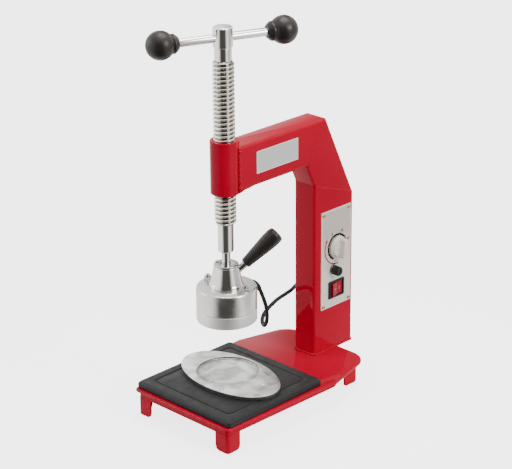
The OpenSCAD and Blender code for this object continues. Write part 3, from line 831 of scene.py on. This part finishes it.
def make_head():
    """The hollow casing, the heating plate under it, the cone on it and the cone's keeper plate."""
    r = casing.size.x / 2
    wall = [(r - 0.8, casing.lo.z), (r, casing.lo.z + 0.6), (r, casing.hi.z - 2.6),
            (r - 0.8, casing.hi.z - 0.9), (r - 2.6, casing.hi.z), (0, casing.hi.z)]
    bore = [(0, casing.hi.z - 3), (r - 5, casing.hi.z - 3), (r - 3, casing.hi.z - 5),
            (r - 3, casing.lo.z)]
    piece("casing_shell", lathe(rounded(bore + wall, 0.5), segments=128), "head", "turned_steel",
          ["heater_casing"])
    slab = [(0, plate.lo.z), (r - 1.2, plate.lo.z), (r, plate.lo.z + 1.2), (r, plate.hi.z - 0.8),
            (r - 1.0, plate.hi.z), (0, plate.hi.z)]
    piece("press_plate", lathe(rounded(slab, 0.5), segments=128), "head", "turned_steel",
          ["heating_plate"], dull_steel)
    foot, top = cone.lo.z, keeper.lo.z
    bell = [(0, foot + 10), (11.2, foot + 19), (11.2, top), (16.9, top), (17.25, top - 0.4),
            (22.6, foot + 6.5), (24.3, foot + 3.4), (24.3, foot + 0.4), (23.9, foot), (0, foot)]
    piece("cone_housing", lathe(rounded(bell, 1.2)), "head", "chrome", ["head_cone"])
    ring = [(6.5, keeper.lo.z), (17.25, keeper.lo.z), (17.25, keeper.hi.z - 0.6),
            (16.6, keeper.hi.z), (6.5, keeper.hi.z)]
    ring = rounded(ring, 0.4, 3, closed=True)
    piece("keeper_plate", lathe(ring + ring[:1], caps=False), "head", "zinc_steel",
          ["retaining_plate"])


make_head()


def screw_head(name, where, r, body, turn, material=None):
    """A pan-head screw, crowned, with a cross recess; it points along the Z axis of a matrix."""
    profile = [(0, 0), (r, 0), (r, r * 0.25), (r * 0.92, r * 0.45), (r * 0.6, r * 0.62), (0, r * 0.68)]
    head = lathe(rounded(profile, r * 0.12, 3), where, 40)
    obj = piece(name, head, body, "zinc_steel", material=material)
    for angle in (turn, turn + math.pi / 2):
        bar = rectangle(r * 1.1, r * 0.24, 0.02, 1)
        cut(obj, prism(bar, r * 0.28, r * 2, where @ spin(angle)))
    return obj


refine("head_studs", "zinc_steel", 0.3)
refine("stud_nuts", "zinc_steel", 0.5)
for i, a in enumerate((20, 200)):
    at = shift(*polar(14.2, math.radians(a)), keeper.hi.z)
    obj = screw_head(f"keeper_screw_{i}", at, 2.6, "head", 0.9 * i)
    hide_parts("retaining_screws")


def make_handle():
    """A steel rod that leans out of the cone, and the swelling grip on it."""
    azimuth, tilt, n = math.radians(58), math.radians(41.5), 61.6
    where = spin(azimuth) @ shift(26.9, 0, keeper.hi.z - 3.3) @ spin(math.pi / 2 - tilt, "Y")
    rod = rounded([(0, -14), (5, -14), (5, 39), (0, 39)], 0.4)
    piece("handle_bar", lathe(rod, where, 48), "head", "chrome", ["handle_rod"],
          MATERIALS["zinc_steel"])
    outline = [(5.05, 6), (5.05, 0), (6.8, 0), (7.5, 0.9), (8.3, 10), (10.1, 27), (11.7, n - 19),
               (12.1, n - 10), (11.8, n - 4), (10.4, n - 0.9), (7.6, n), (0, n)]
    piece("grip_moulded", lathe(rounded(outline, 1.6, 5), where, 64), "head", "phenolic",
          ["handle_grip"])


make_handle()

# ------ tray and shaping plate

tray = Box("tray")


def make_tray():
    """A square tray with a rounded rim and a fine groove that follows it."""
    w, y, top, low = tray.size.x, tray.mid.y, tray.hi.z, tray.lo.z
    steps = [(0.6, low), (0, low + 1.2), (0, top - 4.6), (0.4, top - 2.6), (1.6, top - 1.0),
             (3.4, top - 0.35), (4.0, top), (15.4, top), (15.8, top - 1.1)]
    steps = rounded(steps, 0.7, 3)

    def ring(inset, z):
        side = w - 2 * inset
        corner = 8 if inset > 15 else 4.5
        return [Vector((px, py + y, z)) for px, py in rectangle(side, side, corner, 8)]

    piece("tray_body", skin([ring(*s) for s in steps]), "frame", "tray_coating", ["tray"])
    field = rounded([(18.3, top - 1.15), (18.7, top), (60, top)], 0.4, 3)
    piece("tray_field", skin([ring(*s) for s in field]), "frame", "tray_coating", ["tray"])
    # the groove's floor carries painted shade
    groove = [ring(i, top - 0.9) for i in (15.6, 17.0, 18.5)]
    piece("tray_groove", skin(groove, caps=False), "frame", "tray_coating", ["tray"], groove_shade)


make_tray()

oval = Box("shaping_plate")
OVAL_TURN = math.radians(-4.5)
RECESS_AT, RECESS_DEEP, RECESS_R = Vector((-14.2, 13.9, 0)), 2.2, 45


def make_shaping_plate():
    """An oval casting with a machined round recess, two dimples and a countersunk hole."""
    a, b = 89.0, 53.0
    cx, cy = oval.mid.x, oval.mid.y
    low, top = oval.lo.z, oval.hi.z
    floor_z = top - RECESS_DEEP
    steps = rounded([(0.8, low), (0.5, low + 0.4), (0, top - 1.0), (0.4, top - 0.3), (1.5, top)], 0.3, 3)
    c, s = math.cos(OVAL_TURN), math.sin(OVAL_TURN)

    def oval_ring(inset, z):
        ring = [((a - inset) * math.cos(t), (b - inset) * math.sin(t)) for t in full_turn(160)]
        return [Vector((cx + x * c - y * s, cy + x * s + y * c, z)) for x, y in ring]

    obj = piece("oval_plate", skin([oval_ring(i, z) for i, z in steps]), "plate", "cast_aluminium",
                ["shaping_plate"])
    well = rounded([(0, floor_z), (RECESS_R - 1.0, floor_z), (RECESS_R, top), (RECESS_R, top + 5),
                    (0, top + 5)], [0, 0.8, 0.5, 0, 0], 5)
    cut(obj, lathe(well, Matrix.Translation(RECESS_AT)))
    hole = [(0, top - 2.8), (1.6, top - 2.8), (1.8, top - 1.8), (3.4, top - 0.3), (4.2, top + 3),
            (0, top + 3)]
    cut(obj, lathe(hole, shift(54.7, 16), 40))
    # centre and radius of the painted shade ring on the recess floor
    recess_shade = (AXIS + RECESS_AT * MM, RECESS_R * MM)
    obj.data.materials.append(cast_aluminium("cast_aluminium_recess_shade", recess_shade))
    obj.data.materials.append(shaded_cast_edge)
    for face in obj.data.polygons:
        at = (face.center - AXIS) / MM
        out = (Vector((at.x, at.y, 0)) - RECESS_AT).length
        # upright faces take the painted shade of the edge material
        if abs(face.normal.z) < 0.6 and at.z > low + 1:
            face.material_index = 2  # the edge
        elif out < RECESS_R - 0.5 and at.z < floor_z + 0.3 and face.normal.z > 0.5:
            face.material_index = 1  # the recess
    dimple = [(0, top - 3.1), (2.2, top - 3.0), (3.2, top - 2.3), (3.4, top + 2), (0, top + 2)]
    for x, y in ((-12.3, -25.3), (21.9, 11.4)):
        cut(obj, lathe(rounded(dimple, 0.5), shift(x, y), 32))


make_shaping_plate()

# ------ controls

panel, knob, scale = Box("control_panel"), Box("timer_knob"), Box("dial_scale")
refine("control_panel", "silver_label", 0.25)
grey = (0.70, 0.71, 0.70)
refine("nameplate", "silver_label", 0.15, label_sheet("nameplate_sheet", grey, grey))
FACE = panel.hi.x


def on_face(y, z, x=FACE):
    """Matrix whose Z points out of the panel, X towards the rear and Y up."""
    return shift(x, y, z) @ WALL


def border(name, box, inset, width):
    """A printed light margin around a plate on the right-hand side."""
    inner, high = inset + width, 0.12
    rings = [level(rectangle(box.size.y - 2 * d, box.size.z - 2 * d, 0.8, 3), z)
             for d, z in ((inset, 0), (inset, high), (inner, high), (inner, 0), (inset, 0))]
    mesh = skin(rings, False, on_face(box.mid.y, box.mid.z, box.hi.x))
    piece(name, mesh, "frame", "silver_label", material=bright_label)


border("panel_border", panel, 0.3, 2.0)
border("nameplate_border", Box("nameplate"), 0.2, 1.5)


def make_panel_screws():
    box = Box("panel_screws")
    for i, y in enumerate((box.lo.y + 3, box.hi.y - 3)):
        for j, z in enumerate((box.lo.z + 3, box.hi.z - 3)):
            obj = screw_head(f"panel_screw_{i}{j}", shift(FACE, y, z) @ spin(math.pi / 2, "Y"), 2.9,
                             "frame", 0.5 + i * 1.1 + j * 0.7, yellow_zinc)
            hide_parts("panel_screws")


make_panel_screws()


def arc_band(name, radius, width, start, end, height, material, where, body="frame"):
    """A printed band along part of a circle; angles in degrees, anticlockwise from the rear."""
    steps = max(2, int(abs(end - start) / 4))
    inner, outer = radius - width / 2, radius + width / 2
    rings = []
    for i in range(steps + 1):
        t = math.radians(start + (end - start) * i / steps)
        rings.append([Vector((*polar(r, t), h)) for r, h in
                      ((inner, 0), (outer, 0), (outer, height), (inner, height))])
    return piece(name, skin(rings, frame_at=where), body, "black_print", material=material)


def make_dial():
    """The dial's broken black ring, tick marks, small figures and the red hold arrow."""
    centre = scale.mid
    where = on_face(centre.y, centre.z)
    r = scale.size.y / 2
    hold_r, figure_r = r + 7.0, r + 5.2
    print_h, black = 0.3, MATERIALS["black_print"]
    hold_from, hold_to = 152, 276
    breaks = [248, 200, 168, 120, 75, 35, -20]
    gap, tick = 1.5, 1.2  # degrees to either side of a break
    for i, (a, b) in enumerate(zip(breaks, breaks[1:])):
        obj = arc_band(f"dial_ring_{i}", r - 0.3, 3.0, a - gap, b + gap, print_h, black, where)
        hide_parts("dial_scale")
    for i, a in enumerate(breaks[1:-1]):
        arc_band(f"dial_tick_{i}", r + 1.6, 2.4, a - tick, a + tick, print_h, black, where)
    for a, text in ((116, "5"), (66, "10"), (14, "15")):
        curve = bpy.data.curves.new(f"dial_figure_{text}", "FONT")
        curve.body = text
        curve.size = 5.6 * MM
        curve.offset = 0.12 * MM
        curve.extrude = 0.1 * MM
        curve.align_x = curve.align_y = "CENTER"
        obj = add_object(f"dial_figure_{text}", curve)
        across, up = polar(figure_r, math.radians(a))
        at = place(FACE + 0.12, centre.y + across, centre.z + up)
        obj.matrix_world = Matrix.Translation(at) @ WALL
        curve.materials.append(black)
        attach(obj, "frame")
    arc_band("hold_arc", hold_r, 1.7, hold_from, hold_to, print_h, red_print, where)
    t = math.radians(hold_from)
    arrow = prism([(-2.2, -0.6), (2.2, -0.6), (0, 5.4)], 0, print_h,
                  where @ shift(*polar(hold_r, t)) @ spin(t - math.pi))
    piece("hold_arrow", arrow, "frame", "black_print", material=red_print)


make_dial()


def make_knob():
    """A moulded timer knob: a flared skirt with a tapered bar grip across it."""
    where = on_face(knob.mid.y, knob.mid.z, knob.lo.x)
    r = knob.size.y / 2
    flare = rounded([(0, 0.3), (r - 1.2, 0.3), (r, 0.8), (r, 2.4), (r - 1.6, 4.2), (r - 2.6, 7),
                     (0, 8.2)], 0.8, 4)
    piece("knob_skirt", lathe(flare, where, 80), "knob", "ivory_plastic", ["timer_knob"])
    height, foot, tiers = knob.size.x, 5, 8
    rings = []
    for k in range(tiers + 1):
        t = k / tiers
        z = foot + (height - foot) * math.sin(t * math.pi / 2)
        wide = 1 - 0.10 * t - (0.10 if k == tiers else 0)
        long = 1 - 0.06 * t - (0.04 if k == tiers else 0)
        rings.append(level(rectangle(9.5 * wide, (2 * r - 3.4) * long, 3.2, 6), z))
    mesh = skin(rings, frame_at=where @ spin(math.radians(-8)))
    piece("knob_grip", mesh, "knob", "ivory_plastic", ["timer_knob"])


make_knob()


def make_switch():
    """A bezel with a window, and a rocker in it with a dash and a ring printed on."""
    box, rocker = Box("switch_housing"), Box("rocker")
    (y, z), (w, h) = box.mid.yz, box.size.yz
    window_w, window_h = 26.2, 21.4
    rings = [level(rectangle(w - 2 * inset, h - 2 * inset, 1.6, 4), out)
             for inset, out in ((0, 0), (0, 1.4), (0.5, 2.1), (1.2, 2.4))]
    rings += [level(rectangle(window_w, window_h, 0.8, 4), out) for out in (2.4, 1.4, -6)]
    piece("switch_bezel", skin(rings, frame_at=on_face(y, z)), "frame", "black_plastic",
          ["switch_housing"])
    seat = shift(FACE - 3, y, z) @ spin(math.radians(9))
    half_l, half_h = 11.5, min(rocker.size.z, window_h - 0.9) / 2
    profile = rounded([(-2, -8), (2.5, -half_l), (6.0, -half_l), (4.6, 0), (6.0, half_l),
                       (2.5, half_l), (-2, 8)], [0, 0.3, 0.6, 2.5, 0.6, 0.3, 0], 5, closed=True)
    cap = prism(profile, -half_h, half_h, seat)
    bevel(piece("rocker_cap", cap, "rocker", "red_plastic", ["rocker"]), 0.35)

    def mark_frame(end):
        """The place of a print near one end of the rocker's hollow face."""
        return seat @ shift(5.3, 5.6 * end) @ WALL @ spin(math.radians(6.8 * end), "Y")

    print_h = 0.12
    dash = prism(rectangle(3.8, 0.9, 0.4, 2), 0, print_h, mark_frame(-1))
    piece("rocker_dash", dash, "rocker", "red_plastic", material=white_print)
    arc_band("rocker_ring", 2.1, 0.6, 0, 356, print_h, white_print, mark_frame(1), "rocker")


make_switch()


def make_fuse():
    """A flange with a chrome ring that stands for a highlight on its rim, and a slotted cap with ribs.
    """
    cap, sides, ribs = Box("fuse_cap"), 56, 18
    where = on_face(cap.mid.y, cap.mid.z)
    flange = rounded([(0, 0), (8.5, 0), (8.5, 1.2), (7.9, 2), (0, 2)], 0.4)
    piece("fuse_flange", lathe(flange, where, sides), "frame", "black_plastic", ["fuse_holder"])
    # painted highlight: a chrome ring on the black flange for its lit rim
    ring = rounded([(7.2, 2), (8.7, 2), (8.7, 2.5), (7.2, 2.5), (7.2, 2)], 0.2)
    piece("fuse_rim_highlight", lathe(ring, where, sides, caps=False), "frame", "chrome")
    r = cap.size.z / 2
    out = cap.hi.x - FACE
    body = rounded([(0, 2.3), (r, 2.3), (r, 4.0), (r - 0.3, 4.3), (r - 0.6, out - 0.9),
                    (r - 1.5, out), (0, out)], 0.5)
    obj = piece("fuse_knob", lathe(body, where, sides), "fuse", "black_plastic", ["fuse_cap"])
    cut(obj, prism(rectangle(18, 1.7, 0.02, 1), out - 1.5, out + 3, where @ spin(math.radians(62))))
    rib = rounded([(0, 4.8), (0.45, 5.0), (0.45, out - 1.6), (0, out - 1.3)], 0.1, 2)
    for i, t in enumerate(full_turn(ribs)):
        at = where @ shift(*polar(r - 0.45, t))
        piece(f"fuse_rib_{i:02d}", lathe(rib, at, 10), "fuse", "black_plastic")


make_fuse()

SMALL_PARTS = {  # by slot
    "black_plastic": ("lead_gland", "mains_gland", "column_cap", "head_gland"),
    "ivory_plastic": ("terminal_block", "insulation_disc"),
    "ceramic": ("heating_element", "thermostat"),
    "brass": ("earth_screw", "thrust_washer"),
    "grey_plastic": ("timer_body",),
    "glass_fuse": ("fuse_link",),
    "zinc_steel": ("tray_screws",),
}
for slot, nodes in SMALL_PARTS.items():
    for node in nodes:
        refine(node, slot, 0.3)

# ------ stage and light

FILL_LIGHT = 0.55
SHINE_LIGHT = 1.9
BACKDROP_LIGHT = 4.2
WHITE = (1, 1, 1, 1)


def make_floor():
    """A pale round floor that fades out, so that its edge never shows."""
    data = bpy.data.meshes.new("floor")
    mesh = bmesh.new()
    bmesh.ops.create_circle(mesh, cap_ends=True, radius=0.62, segments=96)
    mesh.to_mesh(data)
    mesh.free()
    floor = add_object("floor", data)
    floor.location = (0, 0, -0.0004)
    f = Finish("floor_paper", (0.90, 0.90, 0.90), 0.9, specular=0.0)
    f.shader.inputs["Emission Color"].default_value = WHITE
    distance = f.vector("LENGTH", f.place, output="Value")
    in_view = f.ramp(distance, (0.26, 1.0), (0.56, 0.0))
    in_mirrors = f.ramp(distance, (0.16, 0.7), (0.30, 0.0))
    seen = f.add("ShaderNodeLightPath").outputs["Is Camera Ray"]
    f.link(f.mix(seen, in_mirrors, in_view), f.shader.inputs["Alpha"])
    f.link(f.spread(seen, 0, 1, 0.35, BACKDROP_LIGHT - 0.9), f.shader.inputs["Emission Strength"])
    data.materials.append(f.material)


def make_world():
    """A bright studio that is dark around the camera, as polished metal shows it."""
    world = bpy.data.worlds.new("studio")
    bpy.context.scene.world = world
    world.use_nodes = True
    world.node_tree.nodes.clear()
    g = Graph(world.node_tree)
    where = g.add("ShaderNodeTexCoord").outputs["Generated"]
    rays = g.add("ShaderNodeLightPath")

    def along(x, y, z):
        return g.vector("DOT_PRODUCT", where, (x, y, z), "Value")

    def fade(value, low, high, start, end):
        """A smooth step from start to end as the value goes from low to high."""
        return g.spread(value, low, high, start, end, "SMOOTHSTEP")

    def joined(operation, first, *others):
        for other in others:
            first = g.add("ShaderNodeMath", {0: first, 1: other}, operation=operation).outputs[0]
        return first

    def background(color, strength):
        return g.add("ShaderNodeBackground", {"Color": color, "Strength": strength}).outputs[0]

    def by_ray(kind, otherwise, then):
        """One shader for this kind of ray, and another for the rest."""
        return g.add("ShaderNodeMixShader", {0: rays.outputs[kind], 1: otherwise, 2: then}).outputs[0]

    a = math.radians(CAMERA_AZIMUTH)
    across, toward = along(math.cos(a), math.sin(a), 0), along(math.sin(a), -math.cos(a), 0)
    up = along(0, 0, 1)
    wide = g.add("ShaderNodeMath", {0: across}, operation="ABSOLUTE").outputs[0]
    front = joined("MULTIPLY", fade(wide, 0.40, 0.88, 1, 0), fade(toward, 0.0, 0.25, 0, 1),
                   fade(up, 0.55, 0.8, 1, 0))
    rear = joined("MULTIPLY", fade(toward, -0.5, -0.2, 1, 0), fade(up, 0.6, 0.9, 1, 0),
                  fade(across, -0.05, 0.06, 0, 0.8), fade(across, 0.15, 0.45, 1, 0.2))
    right = joined("MULTIPLY", fade(across, 0.78, 0.95, 0, 0.6), fade(up, 0.5, 0.7, 1, 0))
    dark = joined("MAXIMUM", front, rear, right)
    shine = g.mix(dark, (1.0, 0.99, 0.97, 1), (0.045, 0.043, 0.040, 1))
    lit = by_ray("Is Glossy Ray", background(WHITE, FILL_LIGHT), background(shine, SHINE_LIGHT))
    seen = by_ray("Is Camera Ray", lit, background(WHITE, BACKDROP_LIGHT))
    g.add("ShaderNodeOutputWorld", {"Surface": seen})


def area_light(name, at, size, power):
    """A square lamp aimed at the middle of the press."""
    data = bpy.data.lights.new(name, "AREA")
    data.shape = "RECTANGLE"
    data.size = data.size_y = size
    data.energy = power
    light = add_object(name, data)
    light.location = place(*at)
    ahead = place(0, 40, 220) - light.location
    light.rotation_euler = ahead.to_track_quat("-Z", "Y").to_euler()


make_floor()
make_world()
area_light("key", (1700, 300, 1300), 0.8, 22)
area_light("fill", (-1300, -900, 900), 0.8, 7)
area_light("top", (0, 200, 1700), 0.9, 14)
